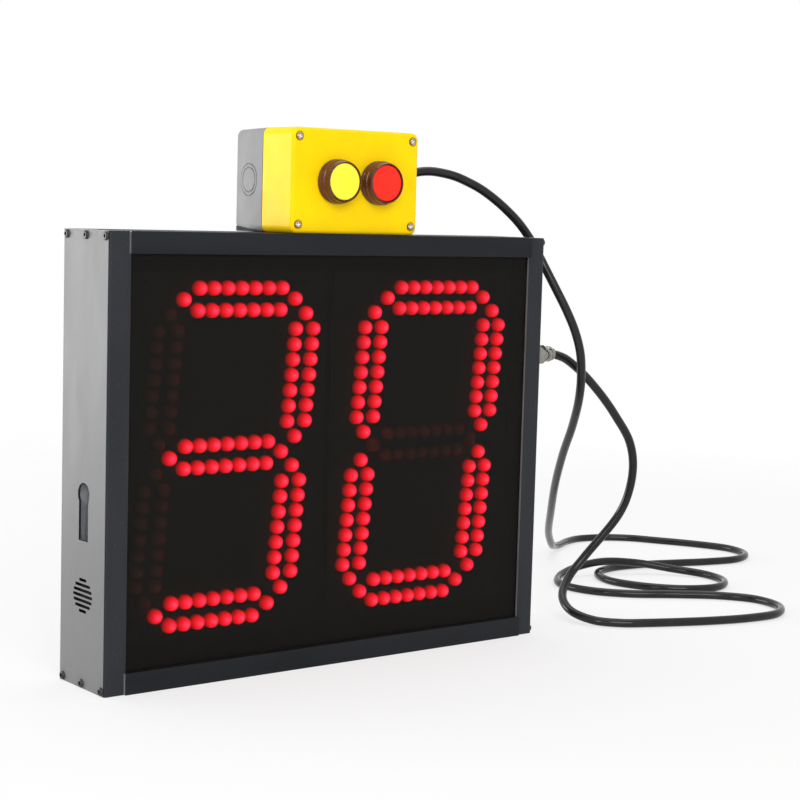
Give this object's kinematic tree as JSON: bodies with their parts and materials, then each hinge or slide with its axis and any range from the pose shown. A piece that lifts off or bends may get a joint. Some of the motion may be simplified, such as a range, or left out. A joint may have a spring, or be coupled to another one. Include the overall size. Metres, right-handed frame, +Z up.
{
  "type": "shot clock",
  "caption": "Table-top shot clock with a smoked window over red LED digits, a wired control box with a yellow and a red push-button, and its cable in loops.",
  "frame": {"origin": "centre of the bottom of the object's bounding box, without the cable and its gland, at the level of the table", "axes": "+X to the right across the window, +Y from the window to the back, +Z up"},
  "size_m": [0.7317, 0.3266, 0.3521],
  "materials": {
    "black_coat": "matt textured",
    "smoked_window": "polished",
    "led_red": "satin",
    "zinc_steel": "satin",
    "circuit_green": "satin",
    "battery_blue": "glossy",
    "nickel": "polished",
    "black_steel": "satin",
    "black_rubber": "matt",
    "black_cable": "glossy",
    "yellow_cover": "satin",
    "grey_base": "matt",
    "black_ring": "glossy",
    "yellow_cap": "satin",
    "red_cap": "satin"
  },
  "bodies": {
    "cabinet": {"left_end_plate": "black_coat", "right_end_plate": "black_coat", "top_profile": "black_coat", "bottom_profile": "black_coat", "front_window": "smoked_window", "back_cover": "black_coat", "left_end_screw_1": "black_steel", "left_end_screw_2": "black_steel", "left_end_screw_3": "black_steel", "left_end_screw_4": "black_steel", "left_end_screw_5": "black_steel", "left_end_screw_6": "black_steel", "right_end_screw_1": "black_steel", "right_end_screw_2": "black_steel", "right_end_screw_3": "black_steel", "right_end_screw_4": "black_steel", "right_end_screw_5": "black_steel", "right_end_screw_6": "black_steel", "back_cover_screw_1": "black_steel", "back_cover_screw_2": "black_steel", "back_cover_screw_3": "black_steel", "back_cover_screw_4": "black_steel", "keyhole_pocket": "zinc_steel", "sounder_ring": "black_rubber", "sounder": "zinc_steel", "led_board_left": "led_red", "led_board_right": "led_red", "chassis_plate": "zinc_steel", "control_board": "circuit_green", "battery_pack": "battery_blue", "battery_strap": "zinc_steel", "gland_body": "nickel", "gland_dome_nut": "nickel", "gland_seal": "black_rubber", "gland_lock_nut": "nickel", "cable_box_lead": "black_cable", "cable_loops": "black_cable", "cable_gland_lead": "black_cable"},
    "control_box": {"box_cover": "yellow_cover", "box_base": "grey_base", "box_gasket": "black_rubber", "box_screw_1": "nickel", "box_screw_2": "nickel", "box_screw_3": "nickel", "box_screw_4": "nickel", "box_cable_grommet": "black_rubber", "yellow_button_bezel": "black_ring", "yellow_button_nut": "black_ring", "yellow_contact_block": "grey_base", "red_button_bezel": "black_ring", "red_button_nut": "black_ring", "red_contact_block": "grey_base"},
    "yellow_button": {"yellow_button_cap": "yellow_cap"},
    "red_button": {"red_button_cap": "red_cap"}
  },
  "joints": [
    {"name": "control_box_lift", "type": "slide", "parent": "cabinet", "child": "control_box", "axis": [0, 0, 1], "range_m": [0, 0.06]},
    {"name": "yellow_button_press", "type": "slide", "parent": "control_box", "child": "yellow_button", "axis": [0, 1, 0], "range_m": [0, 0.004], "stiffness_N_per_m": 700, "springref_m": -0.002},
    {"name": "red_button_press", "type": "slide", "parent": "control_box", "child": "red_button", "axis": [0, 1, 0], "range_m": [0, 0.004], "stiffness_N_per_m": 700, "springref_m": -0.002}
  ]
}
